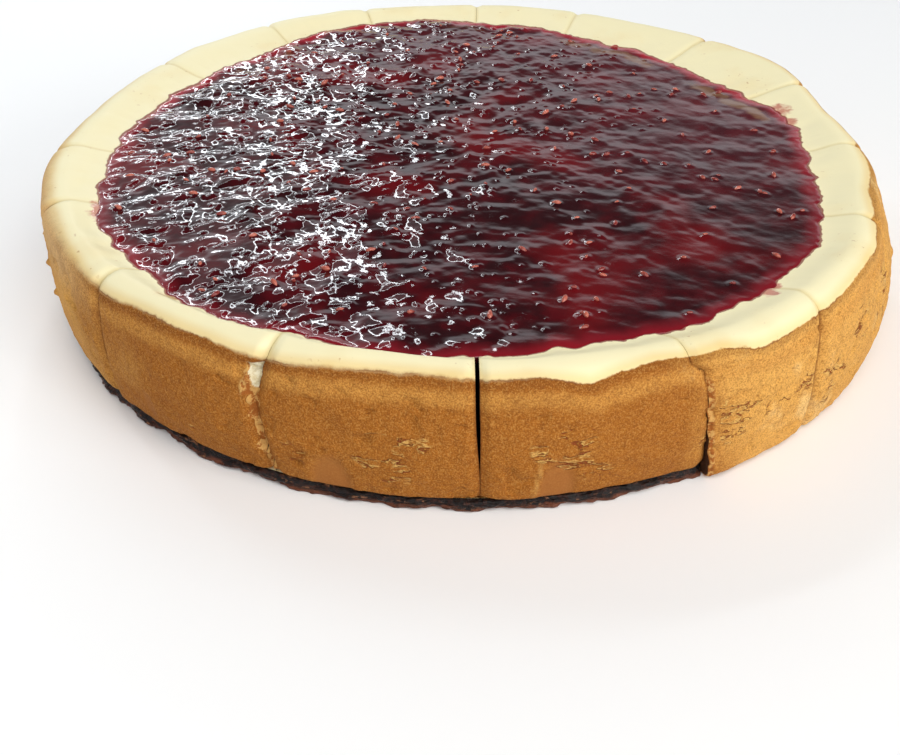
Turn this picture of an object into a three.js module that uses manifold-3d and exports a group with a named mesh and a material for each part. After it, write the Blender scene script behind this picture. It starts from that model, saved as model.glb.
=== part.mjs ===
// A round baked cheesecake with a raspberry jam top, cut into sixteen slices that still stand
// together on a thin dark crumb base. Millimetres, +Z up, origin at the middle of the underside.
// Angles run anticlockwise from +X, and the side that faces the viewer is at -Y.
//
// The pieces: sixteen wedges of cheesecake, one sheet of jam with its seeds, one crumb base.
import * as THREE from "three";
import { mergeVertices } from "three/addons/utils/BufferGeometryUtils.js";
import Module from "manifold-3d";

// Driving dimensions of the whole cake.
const CAKE_RADIUS = 127; // mean radius where the cream top meets the browned side
const CAKE_HEIGHT = 42.2; // crest of the cream rim above the underside
const BASE_THICKNESS = 3.4; // the crumb base
const JOIN_GAP = 0.35; // between pieces that touch

// The browned side, from its foot up to the cream edge.
const FOOT_RADIUS = 125.8;
const FULLEST = 0.42; // share of the side's height where it stands out most
const EDGE_HEIGHT = 37.8; // where the shoulder of the rim begins
const RIM_ROUND = 6.4; // width of the rounded shoulder

// The cream top and the shallow dish that holds the jam.
const DISH_DEPTH = 5.2; // the bed of the jam below the crest
const LIP_DROP = 2.6; // from the crest to the cream beside the jam
const LIP_CLEARANCE = 0.6; // between the jam's edge and the wall of the dish

// The jam and its seeds.
const JAM_LEVEL = CAKE_HEIGHT - 2.7; // mean height of its top
const JAM_FOLDS = 0.42; // height of its folds
const SEED_LENGTH = 2.6;
const SEED_WIDTH = 1.5;
const SEED_COUNT = 76;

// Each slice runs from its own cut to the next one's, in degrees. The rest is in millimetres.
// jam: reach of the jam from the middle. rim and side: how far the cream edge and the fullest
// part of the browned side stand out past the mean radius.
const SLICES = [
  { cut: 0.8, jam: 105.5, rim: -5, side: -1.5 },
  { cut: 24.2, jam: 101.5, rim: 3.5, side: 4 },
  { cut: 46.5, jam: 105, rim: 0.7, side: 2.5 },
  { cut: 70.7, jam: 109, rim: 1.8, side: 3 },
  { cut: 88.9, jam: 116, rim: 1.5, side: 3 },
  { cut: 108.9, jam: 114, rim: 3, side: 4 },
  { cut: 127, jam: 106.5, rim: 1, side: 2.5 },
  { cut: 149.6, jam: 108, rim: -1.8, side: 0 },
  { cut: 182.6, jam: 111.5, rim: 2, side: 2.2 },
  { cut: 200, jam: 115.5, rim: 2, side: 2.5 },
  { cut: 221.4, jam: 116.5, rim: 0.6, side: 1.8 },
  { cut: 247.8, jam: 116.3, rim: -1.8, side: 0.8 },
  { cut: 271.4, jam: 114.2, rim: 0.6, side: 1.6 },
  { cut: 296.2, jam: 114, rim: 2, side: 3.4 },
  { cut: 314.8, jam: 112, rim: 1.2, side: 4 },
  { cut: 338, jam: 106, rim: -3.5, side: 4 },
];
const OPEN_CUT = 12; // the cut in front of this slice has opened towards the rim
const OPENING = 0.28; // added on each side of it
const TORN_CUT = 11; // beside this cut a corner of the rim has torn off
const TORN_DEPTH = 1.6;
const CUT_ROUNDING = 1.1; // a slice's rim draws in this far at its cuts

// On the right the batter has run down past the base and hides its edge.
const SKIRT_FROM = -65; // degrees
const SKIRT_TO = 38;
const SKIRT_RAMP = 6;
const SKIRT_OUT = 2.6; // it stands this far outside the foot elsewhere
const SKIRT_CLEARANCE = 0.5; // above the surface that the cake stands on
const BASE_SETBACK = 9; // the base draws back behind it
const SKIRT_GAP = 1.5; // between the two

const radians = (degrees) => (degrees * Math.PI) / 180;
const mix = (a, b, t) => a + (b - a) * t;
const smooth = (t) => {
  const c = Math.min(Math.max(t, 0), 1);
  return c * c * (3 - 2 * c);
};

// A gentle unevenness between -1 and 1: three waves that bend each other.
const uneven = (x, y, z, scale) =>
  (Math.sin(x / scale + 1.3 * Math.sin(z / scale + 0.7)) +
    Math.sin(y / scale + 1.1 * Math.sin(x / scale + 2.1)) +
    Math.sin((z + 0.6 * x - 0.5 * y) / scale + 4.2)) /
  3;

// A slice's own measure at an angle, carried smoothly on from the middle of one slice to the next.
const cutAfter = (i) => (i + 1 < SLICES.length ? SLICES[i + 1].cut : SLICES[0].cut + 360);
const middles = SLICES.map((slice, i) => (slice.cut + cutAfter(i)) / 2);

function around(measure, degrees) {
  const last = SLICES.length - 1;
  const at = ((((degrees - middles[0]) % 360) + 360) % 360) + middles[0];
  const i = middles.findLastIndex((middle) => middle <= at);
  const next = i < last ? middles[i + 1] : middles[0] + 360;
  const share = smooth((at - middles[i]) / (next - middles[i]));
  return mix(SLICES[i][measure], SLICES[i < last ? i + 1 : 0][measure], share);
}

// How much of the skirt there is at an angle: none on the left, all of it on the right.
function skirt(degrees) {
  const at = ((((degrees + 180) % 360) + 360) % 360) - 180;
  return smooth((at - SKIRT_FROM) / SKIRT_RAMP) * smooth((SKIRT_TO - at) / SKIRT_RAMP);
}

const jamReach = (degrees) => around("jam", degrees) + 0.6 * Math.sin(radians(11 * degrees));
const baseReach = (degrees) => FOOT_RADIUS - BASE_SETBACK * skirt(degrees);

// The cross-section of a slice, from the foot inwards of the base's edge, out along the bottom,
// up the side, round the shoulder and in to the bed of the jam. Each point is [radius, height].
const SIDE_STEPS = [0.1, 0.28, 0.46, 0.64, 0.82, 0.93]; // shares of the side's height
const SHOULDER_STEPS = [25, 52, 90]; // degrees round the shoulder
const FOOT_HEIGHT = BASE_THICKNESS + JOIN_GAP;
const BED_HEIGHT = CAKE_HEIGHT - DISH_DEPTH;

function section(degrees, fromCut, torn) {
  const x = Math.cos(radians(degrees)) * CAKE_RADIUS;
  const y = Math.sin(radians(degrees)) * CAKE_RADIUS;
  const drawnIn = 1 - smooth(fromCut * 5);
  const hung = skirt(degrees);
  const rim = CAKE_RADIUS + around("rim", degrees) - CUT_ROUNDING * drawnIn;
  const foot = FOOT_RADIUS + SKIRT_OUT * hung - 0.5 * CUT_ROUNDING * drawnIn;
  const full = CAKE_RADIUS + around("side", degrees) - CUT_ROUNDING * drawnIn;
  const under = mix(FOOT_HEIGHT, SKIRT_CLEARANCE, hung);
  const edge = EDGE_HEIGHT + 0.5 * uneven(x, y, 0, 7) - 0.5 * drawnIn;
  const crest = CAKE_HEIGHT - 0.35 * drawnIn + 0.25 * uneven(x, y, 9, 30);

  const inside = Math.min(baseReach(degrees) + SKIRT_GAP, foot - 1.2);
  const points = [
    [inside, FOOT_HEIGHT],
    [inside + 0.3, under],
    [foot, under],
  ];
  const swell = full - mix(foot, rim, FULLEST);
  for (const s of SIDE_STEPS) {
    const z = mix(under, edge, s);
    const bulge = swell * Math.sin(Math.PI * s ** (Math.log(0.5) / Math.log(FULLEST))) ** 0.8;
    const lumps = 0.5 * uneven(x, y, z, 5) + 0.3 * uneven(y, x, z, 2.7);
    points.push([mix(foot, rim, s) + bulge + lumps, z]);
  }
  const lip = jamReach(degrees) + LIP_CLEARANCE;
  const outer = rim - torn;
  const width = Math.min(RIM_ROUND, outer - lip - 0.8);
  points.push([outer, edge - 0.6 * torn]);
  for (const turn of SHOULDER_STEPS.map(radians)) {
    points.push([outer - width * (1 - Math.cos(turn)), mix(edge, crest, Math.sin(turn)) - 0.3 * torn]);
  }
  points.push([mix(lip, outer - width, 0.4), mix(crest, CAKE_HEIGHT - LIP_DROP, 0.5)]);
  points.push([lip, CAKE_HEIGHT - LIP_DROP - 0.15 * drawnIn]);
  points.push([lip - 0.4, BED_HEIGHT]);
  return points;
}

function meshOf(corners, faces) {
  const geometry = new THREE.BufferGeometry();
  geometry.setAttribute("position", new THREE.Float32BufferAttribute(corners, 3));
  geometry.setIndex(faces);
  geometry.computeVertexNormals();
  return geometry;
}

// A slice: its cross-section swept from one cut face to the other. The stations of the sweep crowd
// towards the cuts, where the rim is rounded.
const STATIONS = 9;

function slice(index) {
  const start = SLICES[index].cut;
  const end = cutAfter(index);
  const span = end - start;
  const corners = [];
  const faces = [];
  const corner = (r, degrees, z) => {
    corners.push(r * Math.cos(radians(degrees)), r * Math.sin(radians(degrees)), z);
    return corners.length / 3 - 1;
  };
  const kerf = (r, z, opened) => {
    const more = opened ? OPENING * smooth((z - 6) / 30) * smooth((r - 50) / 60) : 0;
    return (Math.asin((JOIN_GAP / 2 + more) / r) * 180) / Math.PI;
  };
  const rows = [];
  for (let j = 0; j <= STATIONS; j++) {
    const share = j / STATIONS - 0.07 * Math.sin((2 * Math.PI * j) / STATIONS);
    const degrees = mix(start, end, share);
    let torn = 0;
    if (index === TORN_CUT - 1 && j === STATIONS) torn = TORN_DEPTH;
    if (index === TORN_CUT && j === 0) torn = TORN_DEPTH * 0.4;
    const points = section(degrees, Math.min(share, 1 - share), torn);
    rows.push(
      points.map(([r, z]) => {
        const from = start + kerf(r, z, index === OPEN_CUT);
        const to = end - kerf(r, z, index + 1 === OPEN_CUT);
        return corner(r, mix(from, to, share), z);
      }),
    );
  }
  const tipRadius = JOIN_GAP / 2 / Math.sin(radians(span / 2));
  const lowTip = corner(tipRadius, start + span / 2, FOOT_HEIGHT);
  const highTip = corner(tipRadius, start + span / 2, BED_HEIGHT);
  const last = rows[0].length - 1;
  for (let j = 0; j < STATIONS; j++) {
    const [a, b] = [rows[j], rows[j + 1]];
    for (let i = 0; i < last; i++) faces.push(a[i], b[i], b[i + 1], a[i], b[i + 1], a[i + 1]);
    faces.push(highTip, a[last], b[last], lowTip, b[0], a[0]);
  }
  // The cut faces: a fan from a point well inside each, behind the side.
  const hubRadius = 120.5;
  const hubHeight = CAKE_HEIGHT / 2;
  const [startHub, endHub] = [
    corner(hubRadius, start + kerf(hubRadius, hubHeight, index === OPEN_CUT), hubHeight),
    corner(hubRadius, end - kerf(hubRadius, hubHeight, index + 1 === OPEN_CUT), hubHeight),
  ];
  const [startRing, endRing] = [rows[0], rows[STATIONS]].map((row) => [lowTip, ...row, highTip]);
  for (let i = 0; i < startRing.length; i++) {
    const next = (i + 1) % startRing.length;
    faces.push(startHub, startRing[i], startRing[next]);
    faces.push(endHub, endRing[next], endRing[i]);
  }
  return meshOf(corners, faces);
}

// The crumb base: a pressed disc with a ragged edge and flat faces.
const BASE_STATIONS = 96;

function crumbBase() {
  const corners = [];
  const faces = [];
  const layers = [
    { z: 0, inset: 0.8 },
    { z: BASE_THICKNESS * 0.45, inset: 0 },
    { z: BASE_THICKNESS, inset: 0.7 },
  ];
  layers.forEach(({ z, inset }, k) => {
    for (let i = 0; i < BASE_STATIONS; i++) {
      const degrees = (i * 360) / BASE_STATIONS;
      const a = radians(degrees);
      const ragged = 0.35 * Math.sin(17 * a + 3 * k) + 0.35 * Math.sin(29 * a + 5 * k);
      const r = baseReach(degrees) - inset + ragged;
      corners.push(r * Math.cos(a), r * Math.sin(a), z);
    }
  });
  const n = BASE_STATIONS;
  corners.push(0, 0, 0, 0, 0, BASE_THICKNESS);
  const [bottom, top] = [3 * n, 3 * n + 1];
  for (let i = 0; i < n; i++) {
    const j = (i + 1) % n;
    faces.push(bottom, j, i, top, 2 * n + i, 2 * n + j);
    for (const k of [0, n]) faces.push(k + i, k + j, k + n + j, k + i, k + n + j, k + n + i);
  }
  return meshOf(corners, faces);
}

// The jam: a sheet with a folded top. Its top is built of rings, each with six more points than
// the one inside it, and its edge thins out towards the cream.
const RINGS = 23;
const JAM_BOTTOM = BED_HEIGHT + JOIN_GAP;

function jamHeight(x, y) {
  const folds = JAM_FOLDS * uneven(0.55 * x + 0.2 * y, 1.2 * y - 0.25 * x, 0, 4.6);
  return JAM_LEVEL + folds + 0.3 * uneven(x, y, 3, 21);
}

function jamSheet() {
  const corners = [0, 0, jamHeight(0, 0)];
  const faces = [];
  const firstOf = [0];
  for (let k = 1; k <= RINGS; k++) {
    firstOf.push(corners.length / 3);
    for (let i = 0; i < 6 * k; i++) {
      const degrees = (360 * i) / (6 * k);
      const r = (jamReach(degrees) * k) / RINGS;
      const [x, y] = [r * Math.cos(radians(degrees)), r * Math.sin(radians(degrees))];
      corners.push(x, y, jamHeight(x, y) - (k === RINGS ? 0.6 : 0));
    }
  }
  const at = (k, i) => firstOf[k] + (k ? i % (6 * k) : 0);
  for (let k = 0; k < RINGS; k++) {
    for (let side = 0; side < 6; side++) {
      for (let i = 0; i <= k; i++) {
        const [inner, outer] = [side * k + i, side * (k + 1) + i];
        faces.push(at(k, inner), at(k + 1, outer), at(k + 1, outer + 1));
        if (i < k) faces.push(at(k, inner), at(k + 1, outer + 1), at(k, inner + 1));
      }
    }
  }
  // Its underside lies on the bed of the dish.
  const count = 6 * RINGS;
  const under = corners.length / 3;
  for (let i = 0; i < count; i++) {
    const [x, y] = corners.slice(3 * at(RINGS, i));
    const shrink = 1 - 0.5 / Math.hypot(x, y);
    corners.push(x * shrink, y * shrink, JAM_BOTTOM);
  }
  const hub = corners.length / 3;
  corners.push(0, 0, JAM_BOTTOM);
  for (let i = 0; i < count; i++) {
    const j = (i + 1) % count;
    faces.push(hub, under + j, under + i);
    faces.push(under + i, under + j, at(RINGS, j), under + i, at(RINGS, j), at(RINGS, i));
  }
  return meshOf(corners, faces);
}

// A seed lies in the top of the jam. The golden angle spreads them evenly, each turned its own way.
function seed(i) {
  const a = i * Math.PI * (3 - Math.sqrt(5)) + 0.25 * Math.sin(7.3 * i);
  const r = (jamReach((a * 180) / Math.PI) - 6) * Math.sqrt((i + 0.6) / SEED_COUNT);
  const [x, y] = [r * Math.cos(a), r * Math.sin(a)];
  const body = new THREE.SphereGeometry(0.5, 6, 4);
  body.scale(SEED_LENGTH, SEED_WIDTH, SEED_WIDTH);
  body.rotateZ(2.4 * Math.sin(3.1 * i));
  body.translate(x, y, jamHeight(x, y) + 0.12);
  return body;
}

const wasm = await Module();
wasm.setup();

function solidOf(geometry) {
  const bare = new THREE.BufferGeometry();
  bare.setAttribute("position", geometry.getAttribute("position"));
  bare.setIndex(geometry.index);
  const merged = mergeVertices(bare, 1e-4);
  return new wasm.Manifold(
    new wasm.Mesh({
      numProp: 3,
      vertProperties: new Float32Array(merged.attributes.position.array),
      triVerts: new Uint32Array(merged.index.array),
    }),
  );
}

function jamWithSeeds() {
  let solid = solidOf(jamSheet());
  for (let i = 0; i < SEED_COUNT; i++) solid = solid.add(solidOf(seed(i)));
  const { vertProperties, triVerts } = solid.getMesh();
  return meshOf([...vertProperties], [...triVerts]);
}

// Finishes.
const bakedCheese = new THREE.MeshStandardMaterial({ color: 0xd99a45, roughness: 0.75 });
const raspberryJam = new THREE.MeshStandardMaterial({ color: 0x6b0a18, roughness: 0.12 });
const darkCrumb = new THREE.MeshStandardMaterial({ color: 0x23120c, roughness: 0.85 });

function piece(name, geometry, material) {
  const mesh = new THREE.Mesh(geometry, material);
  mesh.name = name;
  return mesh;
}

const cheesecake = new THREE.Group();
SLICES.forEach((_, i) => {
  cheesecake.add(piece(`slice_${String(i + 1).padStart(2, "0")}`, slice(i), bakedCheese));
});
cheesecake.add(piece("jam_top", jamWithSeeds(), raspberryJam));
cheesecake.add(piece("crumb_base", crumbBase(), darkCrumb));

export default cheesecake;
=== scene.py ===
# A round baked cheesecake with a raspberry jam top, cut into slices and seen from above in front.
import bpy
import numpy as np
from math import atan, cos, pi, radians, sin
from mathutils import Matrix, Vector


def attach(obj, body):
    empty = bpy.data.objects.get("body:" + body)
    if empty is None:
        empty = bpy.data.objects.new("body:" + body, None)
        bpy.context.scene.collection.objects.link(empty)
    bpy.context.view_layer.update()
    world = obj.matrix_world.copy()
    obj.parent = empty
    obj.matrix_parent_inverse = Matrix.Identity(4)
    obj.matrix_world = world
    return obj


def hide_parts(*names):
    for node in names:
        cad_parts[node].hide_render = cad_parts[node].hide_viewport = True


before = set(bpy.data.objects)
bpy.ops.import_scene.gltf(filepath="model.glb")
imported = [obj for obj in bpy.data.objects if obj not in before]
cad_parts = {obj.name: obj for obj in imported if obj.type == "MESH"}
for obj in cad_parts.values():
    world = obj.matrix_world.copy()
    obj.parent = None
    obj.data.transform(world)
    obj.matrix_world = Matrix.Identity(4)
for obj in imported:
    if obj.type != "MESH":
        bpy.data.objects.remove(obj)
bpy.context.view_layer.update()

# The cheesecake: cream cheese batter baked in a tin until the side browned, then cut with a long
# knife into sixteen slices that still stand together. The top rim stays pale and smooth, the side
# is golden brown with a fine sandy skin that cracks a little and flakes under the rim.
CAKE_RADIUS, CAKE_HEIGHT = 0.127, 0.0422
FOOT_RADIUS, EDGE_HEIGHT, RIM_ROUND, FULLEST = 0.1258, 0.0378, 0.0064, 0.42
BASE_THICKNESS = 0.0034
SEAT = BASE_THICKNESS + 0.0002
BED_HEIGHT, LIP_DROP = 0.0370, 0.0026
# cut angle, reach of the jam, rim and side past the mean radius (degrees and millimetres)
SLICES = [
    (0.8, 105.5, -5, -1.5), (24.2, 101.5, 3.5, 4), (46.5, 105, 0.7, 2.5), (70.7, 109, 1.8, 3),
    (88.9, 116, 1.5, 3), (108.9, 114, 3, 4), (127, 106.5, 1, 2.5), (149.6, 108, -1.8, 0),
    (182.6, 111.5, 2, 2.2), (200, 115.5, 2, 2.5), (221.4, 116.5, 0.6, 1.8), (247.8, 116.3, -1.8, 0.8),
    (271.4, 114.2, 0.6, 1.6), (296.2, 114, 2, 3.4), (314.8, 112, 1.2, 4), (338, 106, -3.5, 4),
]
# where the brown ends: angle, and millimetres up over the shoulder from where the shoulder starts
BROWN_EDGE = np.array([
    (-4, 4), (10, 3), (20, 3), (34, 5), (46, 4.4), (56, 2.8), (70, 1.5), (100, 1.4), (140, 2.2),
    (170, 3.3), (190, 4.5), (200, 4.2), (208, 3.8), (216, 2.7), (224, 0.7), (230, 1.8), (240, 2.1),
    (248, 0.2), (256, 1.7), (266, 2.3), (272, 1.9), (277, 2.6), (284, 0.1), (288, 2.4), (292, 3.7),
    (296, 2.5), (300, 3), (304, 0.3), (312, 0.3), (318, 1.4), (324, 2.4), (332, 2.2), (338, 4.2), (346, 5.3),
])
# how soft that border is, in millimetres
BORDER_SOFT = np.array([(0, 0.6), (60, 1), (150, 2.5), (176, 3.4), (206, 3.2), (216, 2), (224, 1), (240, 0.5),
                        (252, 1.2), (268, 1), (282, 0.4), (296, 0.3), (330, 0.3)])
# the cut that gapes, the one that is torn, and the one from which the batter ran down
OPEN_CUT, TORN_CUT, HUNG_FROM = 12, 11, 13
SKIRT_FROM, SKIRT_TO, SKIRT_OUT, BASE_SETBACK = -60.9, 38, 0.0026, 0.009
# how deep the rim and the side draw in at each cut, in millimetres
GROOVES = (0.6, 1, 1.2, 1, 0.9, 0.9, 0.9, 0.9, 0.7, 1, 1.3, 1.5, 1.1, 1.1, 1.3, 0.9)
# cuts that wander: heights, and how far the cut has moved anticlockwise there, in millimetres
WANDER = {
    11: ((0, 5.5, 10.5, 15, 22, 27, 29.5, 33, 36, 38.5, 42),
         (-0.6, -0.8, -1.1, -1.9, -3.5, -4.2, -3, -2.2, -1.7, -0.6, 0)),
    12: ((0, 10, 30, 42), (1, 0.9, 0, -0.3)),
    13: ((0, 5, 13, 22, 29, 35.5, 38.5, 42), (7, 5.8, 4.4, 3.2, 2.4, 1.4, -2.6, -3)),
}
# smooth dents, and stretches with small tears: angle, height, half width, half height, strength
THUMBED = ((229.8, 11.5, 2.2, 4.2, 0.7), (255, 5, 5.2, 10, 1), (280.4, 5.5, 4.6, 12, 1),
           (120, 8, 5, 9, 0.8), (40, 7, 6, 8, 0.8))
TEARS = ((262.5, 18, 9, 9, 0.8), (281, 21, 7, 7, 1), (285, 12, 5, 4, 0.6), (302, 20, 9, 5, 1),
         (300, 14, 7, 3, 0.8), (311, 22, 8, 6, 0.9), (318, 15, 8, 6, 0.9), (325, 26, 6, 7, 0.7),
         (334, 24, 8, 8, 0.8), (250, 13, 4, 5, 0.4), (236, 9, 4, 4, 0.5), (10, 20, 10, 9, 0.7),
         (60, 15, 12, 7, 0.7), (100, 22, 10, 8, 0.7), (150, 12, 11, 6, 0.7), (190, 20, 8, 6, 0.4))
# nibs that stand out: angle, height, half width, how far out
NIBS = ((203.5, 27, 1.1, 0.9), (206.5, 21, 1.3, 1.1), (200.5, 33, 0.9, 0.6), (334, 30, 1.8, 0.8),
        (345, 24, 1.6, 0.7), (298.2, 3, 1.6, 0.9))
# toasted specks and jam smears on the cream: x, y, reach in millimetres
SPECKS = ((54.1, -119.5, 5), (60, -118, 3.5), (67.5, -112.4, 3.6), (-48.5, -118, 3.2), (-76, -91, 3))
SMEARS = ((100, 31, 7.5), (104, 23, 4), (77.6, -83.8, 4.2), (80.6, -80.5, 2.5),
          (-101, -46, 8.5), (-106, -40, 4))
cuts = np.array([s[0] for s in SLICES] + [SLICES[0][0] + 360])
middles = (cuts[:-1] + cuts[1:]) / 2


def smooth(t):
    """0 up to 0, 1 from 1 on, and a soft step between."""
    t = np.clip(t, 0, 1)
    return t * t * (3 - 2 * t)


def around(values, degrees):
    """A slice's own value at an angle, carried smoothly from one slice's middle to the next."""
    values = np.asarray(values, float)
    at = (np.asarray(degrees, float) - middles[0]) % 360 + middles[0]
    i = np.searchsorted(middles, at, side="right") - 1
    ends = np.append(middles, middles[0] + 360)
    share = smooth((at - ends[i]) / (ends[i + 1] - ends[i]))
    return values[i] + (np.append(values, values[0])[i + 1] - values[i]) * share


def lumps(points, size, octaves=3, seed=0):
    """Soft noise in about -1..1 over points in metres: lattice noise, smoothly joined."""
    total, weight = np.zeros(len(points)), 0
    for k in range(octaves):
        table = np.random.default_rng(seed * 101 + k).uniform(-1, 1, (32, 32, 32))
        p = points / size * 2**k + 7.3 * k
        low = np.floor(p).astype(int)
        f = smooth(p - low)
        value = 0
        for corner in np.ndindex(2, 2, 2):
            pick = (low + corner) % 32
            share = np.prod(np.where(np.array(corner) == 1, f, 1 - f), axis=1)
            value = value + share * table[pick[:, 0], pick[:, 1], pick[:, 2]]
        total += value * 0.5**k
        weight += 0.5**k
    return total / weight * 1.6


def skirt(degrees):
    """On the right the batter ran down past the base."""
    at = (np.asarray(degrees) + 180) % 360 - 180
    return smooth(at - SKIRT_FROM) * smooth((SKIRT_TO - at) / 6)


def jam_reach(degrees):
    """How far the jam is spread, from slice to slice."""
    reach = around([s[1] for s in SLICES], degrees) + 0.6 * np.sin(np.radians(11 * np.asarray(degrees)))
    return reach / 1000


def circle_points(degrees):
    """Points on a circle of radius one."""
    a = np.radians(np.asarray(degrees, float))
    return np.stack([np.cos(a), np.sin(a), 0 * a], 1)


def ragged_reach(degrees):
    """The jam's own edge: the smooth reach with bays, tongues and small teeth."""
    ring = circle_points(degrees) * 0.11
    wide = 0.0013 * lumps(ring, 0.013, 2, 5) + 0.0008 * lumps(ring, 0.0045, 1, 6)
    return jam_reach(degrees) + wide + 0.0003 * lumps(ring, 0.0016, 1, 21)


def mesh_object(name, corners, faces, marks=None):
    """A smooth mesh piece, with its marks as values at its points."""
    mesh = bpy.data.meshes.new(name)
    mesh.from_pydata([tuple(c) for c in corners], [], [tuple(f) for f in faces])
    mesh.validate()
    for mark, values in (marks or {}).items():
        mesh.attributes.new(mark, "FLOAT", "POINT").data.foreach_set("value", np.asarray(values, np.float32))
    mesh.shade_smooth()
    piece = bpy.data.objects.new(name, mesh)
    bpy.context.collection.objects.link(piece)
    return piece


def golden_share(degrees):
    """The side is a pale gold on the right and a deeper brown in front and on the left, except at the far
    left, where a paler gold is a painted sheen of the side seen edge-on.
    """
    at = (np.asarray(degrees) + 180) % 360 - 180
    return 0.12 + 0.8 * smooth((at + 72) / 22) * smooth((120 - at) / 60) + 0.5 * smooth((-122 - at) / 30)


def wander(cut, z):
    """How far a cut has moved, in radians, at these heights."""
    if cut % 16 not in WANDER:
        return z * 0
    heights, moves = WANDER[cut % 16]
    return np.interp(z * 1000, heights, moves) / 1000 / CAKE_RADIUS


def spots(table, turn, up, frayed=0.0):
    """Where on the side these places are: 1 in the middle and 0 outside."""
    total = np.zeros(len(turn))
    for at, middle, half, tall, strength in table:
        across = ((turn - at + 180) % 360 - 180) * pi / 180 * 127 / half
        off = np.sqrt(across**2 + ((up * 1000 - middle) / tall) ** 2) + frayed
        total = np.maximum(total, strength * smooth((1.25 - off) / 0.5))
    return total


def cut_face(faces, places, loop, bearing, turned, first):
    """Close one cut face: a narrow strip along its outline, then a fan from a point well inside."""
    hub = np.array([0.119 * cos(bearing), 0.119 * sin(bearing), 0.021])
    off = hub - places[loop]
    part_way = np.minimum(0.0005 / np.maximum(np.linalg.norm(off, axis=1), 1e-9), 0.5)
    inset = places[loop] + off * part_way[:, None]
    count = len(loop)
    for i in range(count):
        j = (i + 1) % count
        strip = (loop[i], loop[j], first + j, first + i)
        fan = (first + i, first + j, first + count)
        faces.append(strip[::-1] if turned else strip)
        faces.append(fan[::-1] if turned else fan)
    return [*map(tuple, inset), tuple(hub)]


def slice_rows(index, degrees, share, wide):
    """A wedge's outline at each column, from the foot up the side and over the rim to the jam."""
    hung = skirt(degrees) * (index != HUNG_FROM - 1)
    if index == HUNG_FROM:
        hung = np.where(share < 0.5, 1, hung)
    rim = CAKE_RADIUS + around([s[2] for s in SLICES], degrees) / 1000
    full = CAKE_RADIUS + around([s[3] for s in SLICES], degrees) / 1000
    foot = FOOT_RADIUS + SKIRT_OUT * hung
    if index == HUNG_FROM:
        foot = foot - 0.0005 * smooth(1 - share * wide / 0.007)
    under = SEAT - 0.0031 * hung
    ring = circle_points(degrees) * 0.12
    edge = EDGE_HEIGHT + 0.0004 * lumps(ring, 0.012, 2, 1)
    crest = CAKE_HEIGHT + 0.0002 * lumps(ring, 0.03, 1, 2)
    jam_edge = ragged_reach(degrees)
    lip = jam_edge - 0.0035
    width = np.minimum(RIM_ROUND, rim - jam_edge - 0.0012)
    inside = np.minimum(FOOT_RADIUS - BASE_SETBACK * hung + 0.0015, foot - 0.0012)

    rows, height = [], []
    for radius, z in ((0.06 + 0 * rim, SEAT), (inside - 0.0002, SEAT), (inside, under)):
        rows.append(radius)
        height.append(z + 0 * rim)
    swell = full - (foot + (rim - foot) * FULLEST)
    for s in np.linspace(0, 1, 66):
        bulge = swell * np.sin(pi * s ** (np.log(0.5) / np.log(FULLEST))) ** 0.8
        round_in = 0.0012 * smooth(1 - s / 0.04)
        rows.append(foot + (rim - foot) * s + bulge - round_in)
        height.append(under + (edge - under) * s)
    first_up = len(rows)
    for turn in np.radians(np.linspace(8, 90, 14)):
        rows.append(rim - width * (1 - cos(turn)))
        height.append(edge + (crest - edge) * sin(turn))
    inner = rows[-1]
    for s in np.linspace(0.07, 1, 30):
        rows.append(inner + (lip - inner) * s)
        down = smooth((inner - rows[-1]) / np.maximum(inner - jam_edge + 0.0004, 0.002)) ** 0.9
        sunk = 0.0013 * smooth((jam_edge - 0.0002 - rows[-1]) / 0.0026)
        height.append(crest + (CAKE_HEIGHT - LIP_DROP - crest) * down - sunk)
    rows.append(np.full_like(degrees, 0.06))
    height.append(0 * rim + BED_HEIGHT)
    return np.array(rows), np.array(height), first_up, edge, jam_edge


def torn_parts(index, points, up, from_start, from_end):
    """Where a corner of the rim came off at one cut, and where the skin beside that cut crumbled."""
    near = {TORN_CUT - 1: from_end, TORN_CUT: from_start}.get(index, 1.0)
    bite = lumps(points, 0.0022, 2, 23)
    chip = smooth((np.interp(up, (0.029, 0.0365), (0.0014, 0.0046)) + 0.0007 * bite - near) / 0.0006)
    chip = chip * smooth((up - 0.0288) / 0.001) * (index == TORN_CUT - 1)
    chip = chip * smooth((0.0382 + 0.0006 * bite - up) / 0.001)
    flap = smooth((0.0055 + 0.0012 * bite - near) / 0.0012)
    flap = flap * smooth((up - 0.0265) / 0.002) * smooth((0.0375 - up) / 0.001)
    seam = smooth((0.0011 + 0.0009 * bite - near) / 0.0005) * smooth((0.030 - up) / 0.001)
    return chip, np.maximum(seam, 0.55 * flap * (index == TORN_CUT - 1))


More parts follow.
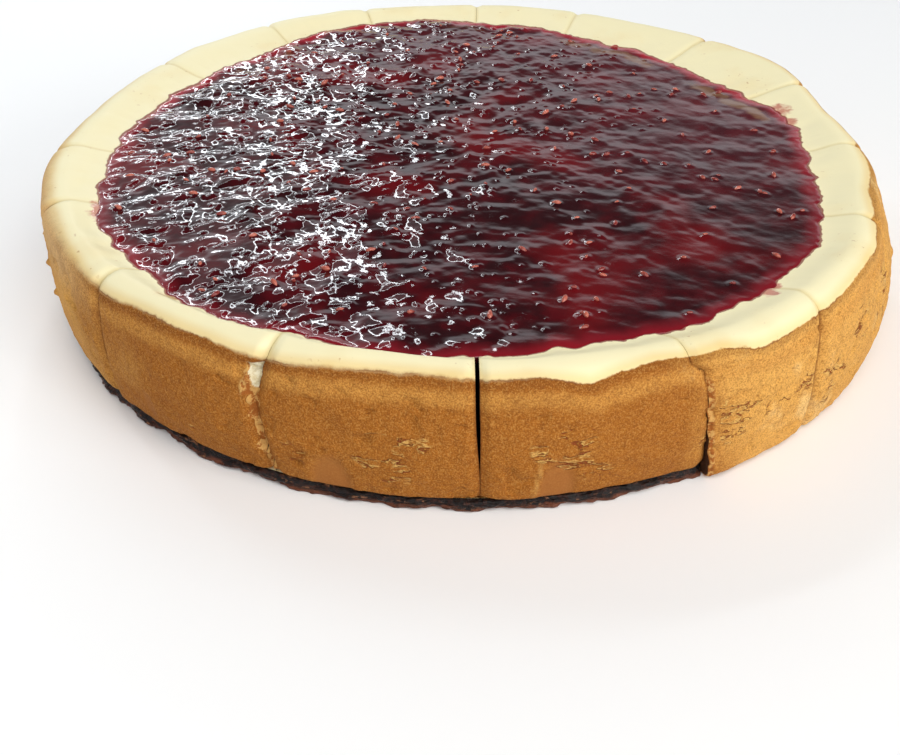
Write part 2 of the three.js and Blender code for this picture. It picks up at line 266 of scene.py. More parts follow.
def cake_slice(index):
    """One wedge: its rows of points with their relief and marks, closed at both cuts."""
    start, end = cuts[index], cuts[index + 1]
    columns = max(24, int((end - start) * 3.4))
    t = np.linspace(0, 1, columns + 1)
    share = t - 0.1 * np.sin(2 * pi * t)
    degrees = start + (end - start) * share
    wide = np.radians(end - start) * CAKE_RADIUS
    arc = np.minimum(share, 1 - share) * wide
    groove = np.where(share < 0.5, GROOVES[index], GROOVES[(index + 1) % 16]) / 1000
    side_in = groove * smooth(1 - arc / (0.0022 + groove)) ** 1.6
    r, z, first_up, edge, jam_edge = slice_rows(index, degrees, share, wide)
    n, m = r.shape
    outside = np.zeros((n, 1))
    outside[3:-2] = 1
    # the rim and the side draw in at the cuts, the front cut gapes towards the rim
    r = r - outside * side_in
    z = z - (np.arange(n)[:, None] >= first_up) * outside * side_in * 0.5
    opening = 0.00048 * smooth((z - 0.010) / 0.018) * smooth((r - 0.05) / 0.06)
    from_gap = 0.00004 + (opening if index == OPEN_CUT else 0)
    to_gap = 0.00004 + (opening if index + 1 == OPEN_CUT else 0)
    a = np.radians(start) + from_gap / r + wander(index, z)
    b = np.radians(end) - to_gap / r + wander(index + 1, z)
    angle = a + (b - a) * share[None, :]
    points = np.stack([r * np.cos(angle), r * np.sin(angle), z], -1).reshape(-1, 3)
    skin = np.broadcast_to(outside, r.shape).reshape(-1)
    side = (smooth((edge - z) / 0.002) * outside).reshape(-1)

    from_start = ((angle - a) * CAKE_RADIUS).reshape(-1)
    from_end = ((b - angle) * CAKE_RADIUS).reshape(-1)
    up = z.reshape(-1)
    chip, crumbled = torn_parts(index, points, up, from_start, from_end)
    crumbled = crumbled * side

    # the relief: dents, a ridge, nibs, tears, and a raised lip where the batter ran down
    radial = np.stack([np.cos(angle), np.sin(angle), 0 * angle], -1).reshape(-1, 3)
    turn = np.degrees(angle).reshape(-1)
    thumbed = spots(THUMBED, turn, up) * side
    tears = spots(TEARS, turn, up, 0.35 * lumps(points, 0.004, 2, 22)) * side
    ridge = np.exp(-(((turn - 278.1 - 0.05 * (up * 1000 - 12)) * pi / 180 * 127 / 0.45) ** 2))
    ridge = ridge * smooth((up - 0.004) / 0.003) * smooth((0.021 - up) / 0.003)
    push = 0.00045 * lumps(points, 0.016, 2, 7) - 0.0005 * thumbed + 0.0005 * ridge * side
    push += 0.0002 * lumps(points, 0.0022, 2, 8) * side * (1 - thumbed)
    push -= 0.0007 * smooth((lumps(points * [1, 1, 1.6], 0.006, 2, 9) - 0.62) / 0.25) * side
    push += tears * (0.0003 * lumps(points * [1, 1, 1.8], 0.0032, 2, 24))
    push += (0.0010 * lumps(points, 0.0019, 2, 17) - 0.0002) * crumbled - 0.0008 * chip * side
    for at, middle, size, tall in NIBS:
        off = np.hypot((turn - at) * pi / 180 * 127, up * 1000 - middle) / size
        push += tall / 1000 * smooth(1.3 - off) * side
    if index == HUNG_FROM:
        lip_here = smooth(1.4 - from_start * 1000 / 1.8) * smooth((0.036 - up) / 0.004)
        push += lip_here * (0.0007 + 0.0006 * lumps(points, 0.0024, 2, 26)) * side
        crumbled = np.maximum(crumbled, 0.5 * lip_here * side)
    points = points + radial * (push * skin)[:, None]
    points[:, 2] += 0.00012 * lumps(points, 0.007, 2, 10) * skin

    steps = np.hypot(np.diff(r, axis=0), np.diff(z, axis=0))
    along = np.vstack([np.zeros(m), np.cumsum(steps, 0)]) * 1000
    ends = np.interp(degrees, BROWN_EDGE[:, 0], BROWN_EDGE[:, 1], period=360)
    on_top = np.arange(n).repeat(m) >= first_up
    specked, smear = np.zeros(n * m), np.zeros(n * m)
    for total, places in ((specked, SPECKS), (smear, SMEARS)):
        for u, v, reach in places:
            off = np.hypot(points[:, 0] * 1000 - u, points[:, 1] * 1000 - v) / reach
            total[:] = np.maximum(total, smooth(1.3 - off) * skin)
    marks = {
        "above_brown": np.where(skin > 0, (along - along[first_up] - ends).reshape(-1), 3),
        "border_soft": np.tile(np.interp(degrees, BORDER_SOFT[:, 0], BORDER_SOFT[:, 1], period=360), n),
        "from_cut": np.tile(arc * 1000, n),
        "from_jam": np.where(on_top, ((r - jam_edge) * 1000).reshape(-1), 50),
        "groove_depth": np.tile(groove * 1000, n),
        "golden": np.tile(golden_share(degrees), n),
        "crumbled": crumbled,
        "chipped": chip * side,
        "thumbed": thumbed,
        "torn_skin": tears,
        "raised": ridge * side,
        "specked": specked * smooth((points[:, 2] - 0.0335) / 0.0015),
        "smeared": smear * on_top,
        "painted_cut_shade": np.zeros(n * m),
    }

    grid = np.arange(n * m).reshape(n, m)
    faces = np.stack([grid[:-1, :-1], grid[:-1, 1:], grid[1:, 1:], grid[1:, :-1]], -1).reshape(-1, 4).tolist()
    middle = np.radians((start + end) / 2)
    extra = [(0.002 * cos(middle), 0.002 * sin(middle), h) for h in (SEAT, BED_HEIGHT)]
    low_tip, high_tip = n * m, n * m + 1
    for j in range(m - 1):
        faces.append((low_tip, grid[0, j + 1], grid[0, j]))
        faces.append((high_tip, grid[-1, j], grid[-1, j + 1]))
    places = np.vstack([points, extra])
    for column, bearing, turned in ((0, float(a[30, 0]), False), (m - 1, float(b[30, -1]), True)):
        loop = [low_tip, *grid[:, column].tolist(), high_tip]
        extra += cut_face(faces, places, loop, bearing, turned, n * m + len(extra))
    # inside its outline each cut face gets painted shade, a near-black brown for the dark gap between slices
    inner_marks = {"above_brown": -12, "border_soft": 1, "from_jam": 50, "golden": 0.3}
    for mark in marks:
        inner = np.full(len(extra), inner_marks.get(mark, 0.0))
        if mark == "painted_cut_shade":
            inner[2:] = 1
        marks[mark] = np.append(marks[mark], inner)
    return mesh_object(f"slice_{index + 1:02d}_baked", np.vstack([points, extra]), faces, marks)


class Value:
    """A node socket to reckon with: every step adds one node."""

    def __init__(self, nodes, socket):
        self.nodes, self.socket = nodes, socket

    def math(self, operation, other=0.0):
        return self.nodes.add("Math", {"operation": operation}, _0=self, _1=other)

    def __add__(self, other): return self.math("ADD", other)
    def __sub__(self, other): return self.math("SUBTRACT", other)
    def __mul__(self, other): return self.math("MULTIPLY", other)
    def __truediv__(self, other): return self.math("DIVIDE", other)
    def __rsub__(self, other): return (self * -1) + other
    def __abs__(self): return self.math("ABSOLUTE")
    __radd__, __rmul__ = __add__, __mul__

    def ramp(self, low, high):
        """0 on the low side and 1 on the high side, smooth between."""
        settings = {"interpolation_type": "SMOOTHSTEP"}
        return self.nodes.add("MapRange", settings, Value=self, From_Min=low, From_Max=high)


class Nodes:
    """A node tree that is added to node by node."""

    def __init__(self, tree):
        self.tree = tree

    def add(self, kind, settings=None, output=0, **sockets):
        node = self.tree.nodes.new(f"ShaderNode{kind}")
        for name, value in (settings or {}).items():
            setattr(node, name, value)
        for name, value in sockets.items():
            slot = node.inputs[int(name[1:])] if name[0] == "_" else node.inputs[name.replace("_", " ")]
            if isinstance(value, Value):
                self.tree.links.new(value.socket, slot)
            else:
                slot.default_value = value
        return Value(self, node.outputs[output])


class Finish(Nodes):
    """A material with one shader, whose sockets are set or fed."""

    def __init__(self, name, **constants):
        self.material = bpy.data.materials.new(name)
        self.material.use_nodes = True
        super().__init__(self.material.node_tree)
        self.shader = self.tree.nodes["Principled BSDF"]
        for socket, value in constants.items():
            self.shader.inputs[socket.replace("_", " ")].default_value = value

    def place(self):
        return self.add("TexCoord", output="Object")

    def noise(self, size, detail=3, rough=0.5, stretch=(1, 1, 1), seed=0.0):
        """Noise with lumps of this size in metres."""
        at = self.add("Mapping", Vector=self.place(), Scale=stretch, Location=(seed, seed * 0.7, seed * 0.3))
        return self.add("TexNoise", Vector=at, Scale=1 / size, Detail=detail, Roughness=rough)

    def mark(self, name):
        """A value that the mesh carries at its points."""
        return self.add("Attribute", {"attribute_name": name}, output="Fac")

    def blend(self, share, first, second):
        return self.add("Mix", {"data_type": "RGBA"}, output=2, _0=share, _6=first, _7=second)

    def feed(self, socket, value):
        self.tree.links.new(value.socket, self.shader.inputs[socket])

    def bump(self, height, distance, strength=1.0):
        self.feed("Normal", self.add("Bump", Height=height, Distance=distance, Strength=strength))


CREAM, CREAM_WARM, CREAM_SHADE = (0.84, 0.765, 0.49, 1), (0.76, 0.57, 0.25, 1), (0.66, 0.52, 0.22, 1)
TOASTED, DARK_BROWN, RUSSET = (0.355, 0.122, 0.015, 1), (0.15, 0.04, 0.006, 1), (0.26, 0.05, 0.012, 1)
GOLD, GOLD_PALE, HONEY = (0.68, 0.35, 0.08, 1), (0.82, 0.50, 0.15, 1), (0.62, 0.29, 0.06, 1)
TAN, STRAW, POLISHED = (0.71, 0.45, 0.20, 1), (0.86, 0.60, 0.26, 1), (0.30, 0.12, 0.04, 1)
JAM_SMEAR, JAM_STAIN, BORDER_LINE_DARK = (0.46, 0.07, 0.06, 1), (0.20, 0.006, 0.008, 1), (0.20, 0.07, 0.02, 1)
SPECK_DARK, SPECK_PALE = (0.30, 0.15, 0.03, 1), (0.70, 0.50, 0.20, 1)
CRUMB_DARK, CRUMB_PALE = (0.32, 0.10, 0.018, 1), (0.60, 0.33, 0.10, 1)
INSIDE_SHADE, INSIDE, CUT_PAINTED_SHADE = (0.70, 0.58, 0.34, 1), (0.88, 0.80, 0.58, 1), (0.05, 0.018, 0.006, 1)
baked = Finish("baked_cheese", Roughness=0.6, Specular_IOR_Level=0.13)
above, from_cut, from_jam = baked.mark("above_brown"), baked.mark("from_cut"), baked.mark("from_jam")
golden, soft, thumbed = baked.mark("golden"), baked.mark("border_soft"), baked.mark("thumbed")
broad, grain, fine = baked.noise(0.02, 3, seed=1), baked.noise(0.0018, 4, 0.65), baked.noise(0.00042, 2, 0.6)
dust = baked.noise(0.0009, 2, 0.6, seed=14)
ragged = above + (baked.noise(0.006, 4, 0.6, seed=2) - 0.5) * 2.2 + (grain - 0.5) * 0.9
cream_share = (ragged / soft).ramp(-1, 0.7)
warm = (1 - above.ramp(0.3, 3.6)) * 0.75 + broad.ramp(0.5, 0.7) * 0.25
cream = baked.blend(warm, CREAM, CREAM_WARM)
deep = baked.mark("groove_depth").ramp(1.0, 1.8)
# painted shade along each cut on the cream, deeper where the groove is deeper
cream = baked.blend((1 - from_cut.ramp(0.0, 1.3)) * (0.4 + deep * 0.2), cream, CREAM_SHADE)
specks = baked.noise(0.0016, 2, seed=4).ramp(0.68, 0.74) * broad.ramp(0.48, 0.6)
cream = baked.blend(specks * 0.5, cream, TOASTED)
smeared = baked.mark("smeared")
stain = (1 - (from_jam + (grain - 0.5) * 1.2).ramp(-0.25, 0.1)) * 0.85
streaks = (smeared + (baked.noise(0.0046, 3, 0.65, seed=17) - 0.5) * 2.0).ramp(0.55, 1.05)
cream = baked.blend(streaks * 0.75, cream, JAM_SMEAR)
cream = baked.blend(stain, cream, JAM_STAIN)
tone = (golden + (broad - 0.5) * 0.9).ramp(0.15, 0.85)
brown = baked.blend(tone, TOASTED, GOLD)
# a darker band under the cream, which is painted shade of the crease below the rim, a paler one below it,
# then an even brown that deepens to the foot
under_rim_shade = ragged.ramp(-3.2, -1.2) * (1 - cream_share)
pale_band = ragged.ramp(-9.5, -6.0) * (1 - ragged.ramp(-4.6, -2.2))
brown = baked.blend(pale_band * 0.6, brown, HONEY)
brown = baked.blend(under_rim_shade * 0.34, brown, DARK_BROWN)
brown = baked.blend((soft.ramp(1.1, 2.8) * ragged.ramp(-17, -4)) * 0.85, brown, TAN)
brown = baked.blend(baked.noise(0.011, 4, 0.55, seed=5).ramp(0.55, 0.72) * 0.25, brown, DARK_BROWN)
blotch = baked.noise(0.014, 3, 0.5, seed=18)
brown = baked.blend(blotch.ramp(0.54, 0.68) * golden.ramp(0.5, 0.9) * 0.5, brown, STRAW)
brown = baked.blend(thumbed * 0.45, brown, POLISHED)
sandy = (1 - thumbed * 0.75) * (1 - soft.ramp(1.4, 3.0) * 0.5)
brown = baked.blend(grain.ramp(0.50, 0.66) * 0.24 * sandy, brown, DARK_BROWN)
brown = baked.blend(dust.ramp(0.52, 0.66) * 0.20 * sandy, brown, DARK_BROWN)
brown = baked.blend(fine.ramp(0.49, 0.62) * 0.42 * sandy, brown, DARK_BROWN)
brown = baked.blend((1 - fine).ramp(0.51, 0.64) * 0.20 * sandy, brown, GOLD_PALE)
# painted shade in the cut grooves down the side, and a thin painted dark line right at each cut
brown = baked.blend((1 - from_cut.ramp(0.3, 2.2)) * deep * 0.55, brown, DARK_BROWN)
brown = baked.blend((1 - from_cut.ramp(0.1, 0.7)) * 0.5, brown, DARK_BROWN)
# short tears that run level or rise to the right, each with a paler lifted edge
torn_skin = baked.mark("torn_skin")
crest_line = baked.noise(0.0105, 4, 0.6, (1, 1, 3.2), seed=12)
broken = baked.noise(0.0060, 2, 0.5, seed=15).ramp(0.49, 0.54) * torn_skin.ramp(0.15, 0.6)
tear = (1 - abs(crest_line - 0.5).ramp(0.002, 0.021)) * broken
lifted = crest_line.ramp(0.515, 0.53) * (1 - crest_line.ramp(0.535, 0.575)) * broken
brown = baked.blend(lifted * 0.6, brown, GOLD_PALE)
brown = baked.blend(tear * 0.9, brown, RUSSET)
brown = baked.blend(baked.mark("raised") * 0.3, brown, GOLD_PALE)
# a thin dark line just under where the cream ends, only where that border is crisp
thin_line = (1 - abs(ragged + 0.25).ramp(0.0, 0.35)) * baked.noise(0.014, 2, seed=13).ramp(0.45, 0.6)
skin = baked.blend(cream_share, brown, cream)
skin = baked.blend(thin_line * (1 - soft.ramp(1.2, 2.0)) * 0.75, skin, BORDER_LINE_DARK)
browned = (baked.mark("specked") + (baked.noise(0.0028, 3, 0.6, seed=16) - 0.5) * 1.6).ramp(0.3, 0.8)
skin = baked.blend(baked.mark("specked") * cream_share * 0.5, skin, TAN)
speckled = baked.blend(grain.ramp(0.42, 0.58), SPECK_DARK, SPECK_PALE)
skin = baked.blend(browned * (0.1 + cream_share * 0.6), skin, speckled)
crumbled, chipped = baked.mark("crumbled"), baked.mark("chipped")
crumbly = baked.blend(grain.ramp(0.44, 0.56), CRUMB_DARK, CRUMB_PALE)
pale_bite = baked.blend(grain.ramp(0.42, 0.6), INSIDE_SHADE, INSIDE)
skin = baked.blend(crumbled.ramp(0.2, 0.5), skin, crumbly)
skin = baked.blend(chipped.ramp(0.3, 0.7), skin, pale_bite)
# the cut faces are painted near-black: painted shade in the gaps between slices
baked.feed("Base Color", baked.blend(baked.mark("painted_cut_shade").ramp(0.1, 0.9), skin, CUT_PAINTED_SHADE))
baked.feed("Roughness", 0.78 - cream_share * 0.3 - streaks * 0.25 + (fine - 0.5) * 0.1)
sand = (fine * 0.35 + grain * 0.5 + dust * 0.3) * sandy - tear * 0.5 + lifted * 0.3
baked.bump(sand * (1 - cream_share * 0.9) + cream_share * 0.6, 0.0008, 1.0)

for i in range(16):
    piece = cake_slice(i)
    piece.data.materials.append(baked.material)
    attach(piece, "root")
    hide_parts(f"slice_{i + 1:02d}")

# The jam: raspberry jam with its seeds, spread by spoon over the cut cake so that it runs on across
# the cuts. It is wet and glossy, lies in small folds, domes and bubbles, and thins out to a
# brighter red at its edge.
JAM_LEVEL = CAKE_HEIGHT - 0.0029
SEEDS, BUBBLES = 190, 2100
RINGS, SPOKES = 210, 1400
JAM_DARK, JAM_RED, JAM_BRIGHT = (0.020, 0.0006, 0.002, 1), (0.065, 0.0015, 0.004, 1), (0.14, 0.0025, 0.005, 1)
JAM_PAINTED_HAZE, EDGE_RED, CREAM_UNDER = (0.11, 0.018, 0.026, 1), (0.42, 0.016, 0.030, 1), (0.30, 0.17, 0.09, 1)


def spread(count, turn, margin):
    """Points over the jam by the golden angle, each shifted a little."""
    i = np.arange(count)
    a = i * pi * (3 - 5**0.5) + turn + 0.35 * np.sin(7.3 * i)
    r = (jam_reach(np.degrees(a)) - margin) * np.sqrt((i + 0.6) / count) * (1 + 0.02 * np.sin(12.9 * i))
    return np.stack([r * np.cos(a), r * np.sin(a)], 1)


seed_places, bubble_places = spread(SEEDS, 0, 0.004), spread(BUBBLES, 1.7, 0.002)
# most bubbles lie at the back on the left
crowd = smooth(0.55 - bubble_places[:, 0] / 0.11 + bubble_places[:, 1] / 0.5)
bubble_places = bubble_places[crowd > np.sin(np.arange(BUBBLES) * 4.7) ** 2 * 0.93]


def jam_height(x, y):
    """The jam's surface: folds, small ripples and pulp, with a dome over each seed and bubble."""
    p = np.stack([x, y, 0 * x], 1)
    left = smooth(0.62 - x / 0.15)
    # the folds lie level on the left and slope down to the right on the right
    q = np.stack([0.8 * x + (0.2 - 0.4 * left) * y, 1.25 * y + (0.3 - 0.45 * left) * x, 0 * x], 1)
    folds = (0.00012 + 0.00030 * left) * lumps(q, 0.0125, 2, 11)
    ripple = (0.00005 + 0.00014 * left) * lumps(q * [1.3, 1.1, 1], 0.0044, 2, 12)
    pulp = 0.00036 * lumps(p, 0.0058, 1, 13) + 0.00014 * lumps(p, 0.0026, 1, 18)
    # some stretches lie smoother than the rest
    slanted = p @ np.array([[0.8, 0.5, 0], [-0.5, 1.4, 0], [0, 0, 1]])
    calm = smooth(lumps(slanted, 0.019, 2, 25) * 1.6 + 0.75)
    z = JAM_LEVEL + folds + ripple + pulp * (0.4 + 0.6 * left) * (0.35 + 0.65 * calm)
    for places, height, reach in ((seed_places, 0.00040, 0.0021), (bubble_places, 0.00032, 0.0013)):
        for k, (u, v) in enumerate(places):
            size = 0.75 + 0.4 * sin(3.7 * k) ** 2
            near = np.flatnonzero((np.abs(x - u) < reach * size) & (np.abs(y - v) < reach * size))
            off = ((x[near] - u) ** 2 + (y[near] - v) ** 2) / (reach * size) ** 2
            z[near] += height * size * np.clip(1 - off, 0, 1) ** 2
    return z


share = np.linspace(0, 1, RINGS + 1)[1:] ** 0.82
degrees = np.arange(SPOKES) * 360 / SPOKES
edge = ragged_reach(degrees)
r = share[:, None] * edge[None, :]
x, y = r * np.cos(np.radians(degrees)), r * np.sin(np.radians(degrees))
z = jam_height(x.reshape(-1), y.reshape(-1)).reshape(x.shape)
inward = edge[None, :] - r
# towards its edge it thins out on to the cream, with a small rounded lip
thinned = CAKE_HEIGHT - LIP_DROP - 0.0003
z = thinned + (z - thinned) * smooth(inward / 0.0038) + 0.00042 * smooth(inward / 0.0015)
top = np.stack([x, y, z], -1).reshape(-1, 3)
under = BED_HEIGHT + 0.0003
bottom = np.stack([x[-1], y[-1], x[-1] * 0 + under], -1)
crown = float(jam_height(np.zeros(1), np.zeros(1))[0]) + 0.00042
corners = np.vstack([top, bottom, [[0, 0, crown], [0, 0, under]]])
grid = np.arange(RINGS * SPOKES).reshape(RINGS, SPOKES)
turned = np.roll(grid, -1, 1)
faces = np.stack([grid[:-1], grid[1:], turned[1:], turned[:-1]], -1).reshape(-1, 4).tolist()
low = np.arange(SPOKES) + RINGS * SPOKES
for j in range(SPOKES):
    k = (j + 1) % SPOKES
    faces.append((grid[-1, j], low[j], low[k], grid[-1, k]))
    faces.append((len(corners) - 2, grid[0, j], grid[0, k]))
    faces.append((len(corners) - 1, low[k], low[j]))
inward = inward * 1000
# the rim shows through where the jam lies thin behind its edge: from and to angles, strength
window = 0 * degrees
for low_angle, high_angle, strength in ((10, 38, 1), (44, 74, 0.9), (84, 100, 0.4), (112, 150, 0.5)):
    here = strength * smooth((degrees - low_angle) / 6) * smooth((high_angle - degrees) / 6)
    window = np.maximum(window, here)
thin = smooth((inward - 4) / 3) * smooth((13 - inward) / 5) * window[None, :]
# towards the back its edge is a brighter red; at the right and the back it is duller, with a milky painted
# reflection laid into its colour
behind = smooth(0.35 + y / 0.07)
painted_haze = np.maximum(smooth(0.15 + x / 0.09) * smooth(0.9 + y / 0.06), smooth(y / 0.05 - 0.9))
dull = smooth(0.15 + x / 0.09)
jam_marks = {"thin": thin, "behind": behind, "painted_haze": painted_haze, "dull": dull}
jam_marks = {name: np.append(values, np.zeros(SPOKES + 2)) for name, values in jam_marks.items()}
jam_marks["from_edge"] = np.append(inward, np.full(SPOKES + 2, 50))
jam_piece = mesh_object("jam_spread", corners, faces, jam_marks)
jam = Finish("raspberry_jam", Roughness=0.05, Specular_IOR_Level=0.5, IOR=1.4)
lump, swirl = jam.noise(0.009, 3, seed=3), jam.noise(0.034, 3, seed=6)
flesh = jam.blend(lump.ramp(0.35, 0.7), JAM_DARK, JAM_RED)
flesh = jam.blend(swirl.ramp(0.50, 0.70) * 0.85, flesh, JAM_BRIGHT)
behind, painted_haze = jam.mark("behind"), jam.mark("painted_haze")
# a milky painted reflection towards the right and the back
flesh = jam.blend(painted_haze * 0.35, flesh, JAM_PAINTED_HAZE)
rim_red = 1 - (jam.mark("from_edge") + (lump - 0.5) * 7).ramp(0.4, 6.5)
flesh = jam.blend(rim_red * (0.4 + behind * 0.5), flesh, EDGE_RED)
film = (jam.mark("thin") + (jam.noise(0.007, 3, 0.6, (0.8, 1.6, 1), seed=10) - 0.5) * 1.5).ramp(0.3, 1.0)
jam.feed("Base Color", jam.blend(film * 0.5, flesh, CREAM_UNDER))
jam.feed("Roughness", 0.03 + jam.noise(0.004, 2, seed=8) * 0.08 + jam.mark("dull") * 0.11)
jam.bump(jam.noise(0.0022, 2, 0.5, seed=5), 0.0002, 0.3)
jam_piece.data.materials.append(jam.material)
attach(jam_piece, "root")
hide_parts("jam_top")

# The seeds: pale tear-shaped raspberry seeds, half sunk in the jam and stained by it.
SEED_LENGTH, SEED_WIDTH = 0.0031, 0.0017
SEED_RED, SEED_TAN = (0.20, 0.022, 0.018, 1), (0.50, 0.13, 0.085, 1)
corners, faces = [], []
SEED_RING, SEED_STACKS = 8, 6
levels = jam_height(seed_places[:, 0].copy(), seed_places[:, 1].copy())
for i, ((x, y), level) in enumerate(zip(seed_places, levels)):
    size = 0.85 + 0.2 * sin(3.7 * i)
    turn = Matrix.Translation((x, y, level + 0.00044 - 0.00035 * sin(5.1 * i) ** 2))
    turn = turn @ Matrix.Rotation(2.9 * sin(3.1 * i), 4, "Z") @ Matrix.Rotation(0.3 * sin(1.9 * i), 4, "Y")
    first = len(corners)
    for k in range(SEED_STACKS + 1):
        s = k / SEED_STACKS
        wide = (sin(pi * s) ** 0.7 * (1 - 0.35 * s) + 0.02) * SEED_WIDTH / 2
        for j in range(SEED_RING):
            b = 2 * pi * j / SEED_RING
            p = Vector(((s - 0.5) * SEED_LENGTH, cos(b) * wide, sin(b) * wide))
            corners.append(turn @ (p * size))
    for k in range(SEED_STACKS):
        low, high = first + k * SEED_RING, first + (k + 1) * SEED_RING
        for j in range(SEED_RING):
            q = (j + 1) % SEED_RING
            faces.append([low + j, high + j, high + q, low + q])
    faces.append([first + j for j in range(SEED_RING)])
    faces.append([first + SEED_STACKS * SEED_RING + j for j in reversed(range(SEED_RING))])
seed_piece = mesh_object("jam_seeds", corners, faces)
seed = Finish("raspberry_seed", Roughness=0.16, Specular_IOR_Level=0.5)
tint = seed.noise(0.006, 2, seed=9)
seed.feed("Base Color", seed.blend(tint.ramp(0.35, 0.65), SEED_RED, SEED_TAN))
seed.bump(seed.noise(0.0005, 2), 0.0001, 0.5)
seed_piece.data.materials.append(seed.material)
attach(seed_piece, "root")

# The base: dark biscuit crumbs pressed thin with butter. Its edge has broken off in flat flakes
# that lie along it, dark above, with a red-brown glow at the foot that is painted light reflected up from the
# floor.
CRUMB_BLACK, CRUMB_BROWN = (0.004, 0.0015, 0.0015, 1), (0.05, 0.014, 0.008, 1)
CRUMB_PAINTED_GLOW, CRUMB_TAN = (0.16, 0.045, 0.018, 1), (0.30, 0.13, 0.06, 1)
BASE_SPOKES = 1500
# its outline: share of the radius, height
BASE_STEPS = [(0.35, 0.0), (0.985, 0.0), (0.9955, 0.0001), (0.999, 0.0005), (1.0, 0.0009), (0.999, 0.0013),
              (0.998, 0.0017), (0.9975, 0.0021), (0.997, 0.0025), (0.996, 0.0029), (0.990, 0.0033),
              (0.97, 0.0034), (0.35, 0.0034)]
degrees = np.arange(BASE_SPOKES) * 360 / BASE_SPOKES
hung = skirt(degrees)
circle = circle_points(degrees)
rows = []
for k, (share, z) in enumerate(BASE_STEPS):
    r = (FOOT_RADIUS - BASE_SETBACK * hung) * share
    p = circle * r[:, None] + [0, 0, z]
    if 1 < k < 11:
        flakes = lumps(p * [1, 1, 7], 0.0075, 2, 14) * 0.0011 + lumps(p * [1, 1, 3], 0.0019, 2, 15) * 0.0005
        p = p + circle * np.clip(flakes - 0.0003, -0.0020, 0.0007)[:, None]
        p[:, 2] = np.clip(p[:, 2] + 0.0003 * lumps(p, 0.004, 2, 16), 0, BASE_THICKNESS)
    rows.append(p)
corners = np.vstack(rows + [[[0, 0, 0], [0, 0, BASE_THICKNESS]]])
grid = np.arange(len(BASE_STEPS) * BASE_SPOKES).reshape(len(BASE_STEPS), BASE_SPOKES)
turned = np.roll(grid, -1, 1)
faces = np.stack([grid[:-1], turned[:-1], turned[1:], grid[1:]], -1).reshape(-1, 4).tolist()
for j in range(BASE_SPOKES):
    k = (j + 1) % BASE_SPOKES
    faces.append((len(corners) - 2, grid[0, k], grid[0, j]))
    faces.append((len(corners) - 1, grid[-1, j], grid[-1, k]))
base_piece = mesh_object("crumb_base_pressed", corners, faces, {"up": corners[:, 2] * 1000})
crumb = Finish("dark_crumb", Roughness=0.5, Specular_IOR_Level=0.3)
bits, layers = crumb.noise(0.0014, 4, 0.65, seed=2), crumb.noise(0.005, 3, 0.6, (1, 1, 6), seed=7)
soil = crumb.blend(bits.ramp(0.45, 0.72), CRUMB_BLACK, CRUMB_BROWN)
# painted light: a red-brown glow at the foot, as if reflected up from the floor
painted_foot_glow = (1 - (crumb.mark("up") + (layers - 0.5) * 4).ramp(0.3, 1.6)) * 0.85
soil = crumb.blend(painted_foot_glow, soil, CRUMB_PAINTED_GLOW)
# paler tan on the raised layers: partly the crumbs' own colour, partly a painted highlight on the ledges
soil = crumb.blend(layers.ramp(0.56, 0.66) * bits.ramp(0.46, 0.6) * 0.8, soil, CRUMB_TAN)
crumb.feed("Base Color", soil)
crumb.feed("Roughness", 0.15 + bits * 0.5)
crumb.bump(bits * 0.5 + layers, 0.0012, 1.0)
base_piece.data.materials.append(crumb.material)
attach(base_piece, "root")
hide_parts("crumb_base")

# The floor: a wide pale sheet that the cake stands on.
bpy.ops.mesh.primitive_plane_add(size=6, location=(0, 0, -0.0002))
floor = bpy.context.object
floor.name = "floor"
pale = Finish("pale_floor", Roughness=0.55, Base_Color=(0.93, 0.93, 0.935, 1))
floor.data.materials.append(pale.material)

# The light: soft white from above in front, a broad pale glow round the horizon, and a thin bright
# rectangular ring lamp behind to the left, which the wet jam shows as small broken loops.
world = bpy.data.worlds.new("studio")
bpy.context.scene.world = world
world.use_nodes = True
sky = Nodes(world.node_tree)
upward = sky.add("SeparateXYZ", output="Z", _0=sky.add("TexCoord", output="Generated"))
glow = upward.ramp(0.52, 0.30) * 0.94 - upward.ramp(0.26, 0.10) * 0.45 + 0.12
background = world.node_tree.nodes["Background"]
world.node_tree.links.new(glow.socket, background.inputs["Strength"])
background.inputs["Color"].default_value = (0.92, 0.95, 1, 1)


def lamp(name, at, aim, size, power, tint):
    """A rectangular lamp at a place, turned to what it lights."""
    light = bpy.data.lights.new(name, "AREA")
    light.shape, light.size, light.size_y = "RECTANGLE", size[0], size[1]
    light.energy, light.color = power, tint
    holder = bpy.data.objects.new(name, light)
    bpy.context.collection.objects.link(holder)
    way = Vector(aim) - Vector(at)
    holder.matrix_world = Matrix.Translation(at) @ way.to_track_quat("-Z", "Y").to_matrix().to_4x4()
    return holder


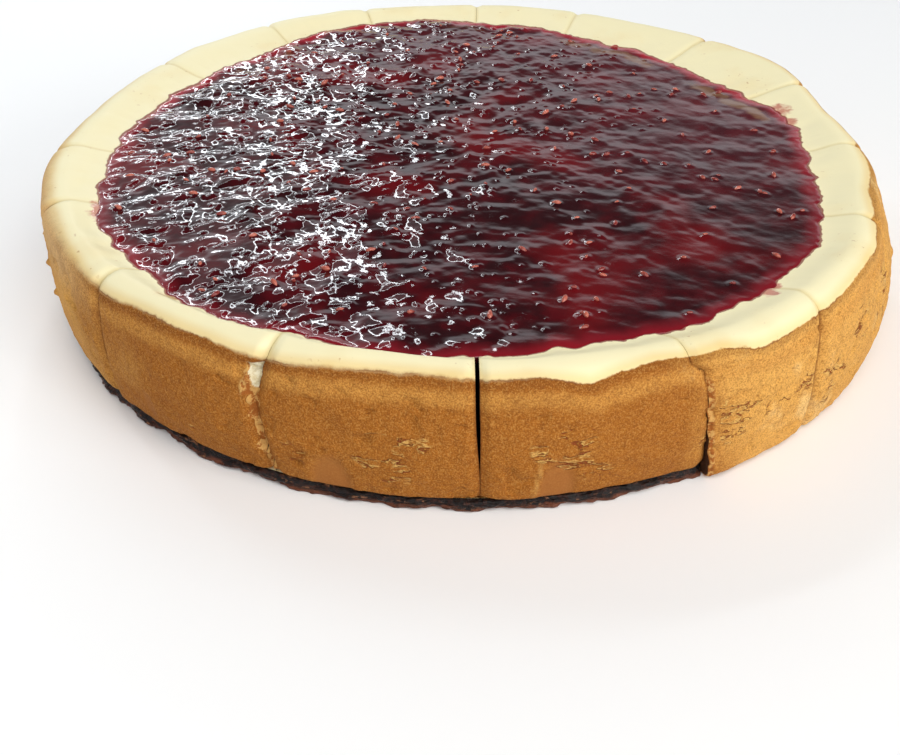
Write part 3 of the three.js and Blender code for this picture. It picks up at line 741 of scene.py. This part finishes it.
RING_TINT = (0.90, 0.96, 1)
lamp("front_soft", (0.25, -0.9, 1.25), (0, 0, 0.02), (1.5, 1.2), 19, (1, 0.99, 0.96))
lamp("right_key", (1.15, -0.75, 0.55), (0, 0, 0.02), (0.7, 0.7), 8.3, (1, 0.96, 0.90))
centre, aim = Vector((-0.52, 0.96, 0.70)), Vector((-0.03, 0, 0.04))
facing = (aim - centre).to_track_quat("-Z", "Y")
# four thin strips and a faint panel between them: place, width, height and power
for k, (u, v, wide, tall, power) in enumerate((
        (0, 0.36, 0.77, 0.038, 1.9), (0, -0.36, 0.77, 0.038, 1.9), (-0.36, 0, 0.038, 0.67, 1.65),
        (0.36, 0, 0.038, 0.67, 1.65), (0, 0, 0.67, 0.67, 0.7))):
    strip = lamp(f"ring_{k}", (0, 0, 0), (0, 0, -1), (wide, tall), power, RING_TINT)
    place = Matrix.Translation(centre) @ facing.to_matrix().to_4x4()
    strip.matrix_world = place @ Matrix.Translation((u, v, 0))

# The camera: at the photograph's place, in front of the cake and 30 degrees above it.
FOCAL, DISTANCE, ELEVATION, ROLL = 1300.0, 3.374 * 0.127, radians(29.91), radians(0.76)
pan, tilt = atan(15.4 / FOCAL), atan(-118.3 / FOCAL)
forward = Vector((0, cos(ELEVATION), -sin(ELEVATION)))
right = Vector((1, 0, 0))
up = right.cross(forward)
forward, right = forward * cos(pan) - right * sin(pan), right * cos(pan) + forward * sin(pan)
forward, up = forward * cos(tilt) + up * sin(tilt), up * cos(tilt) - forward * sin(tilt)
right, up = right * cos(ROLL) + up * sin(ROLL), up * cos(ROLL) - right * sin(ROLL)
camera = bpy.data.objects.new("camera", bpy.data.cameras.new("camera"))
camera.data.sensor_fit, camera.data.sensor_width = "HORIZONTAL", 36
camera.data.lens = 36 * FOCAL / 900
turned = Matrix((right, up, -forward)).transposed().to_4x4()
camera.matrix_world = Matrix.Translation((0, -DISTANCE * cos(ELEVATION), DISTANCE * sin(ELEVATION))) @ turned
bpy.context.collection.objects.link(camera)
bpy.context.scene.camera = camera
bpy.context.scene.view_settings.view_transform = "Standard"
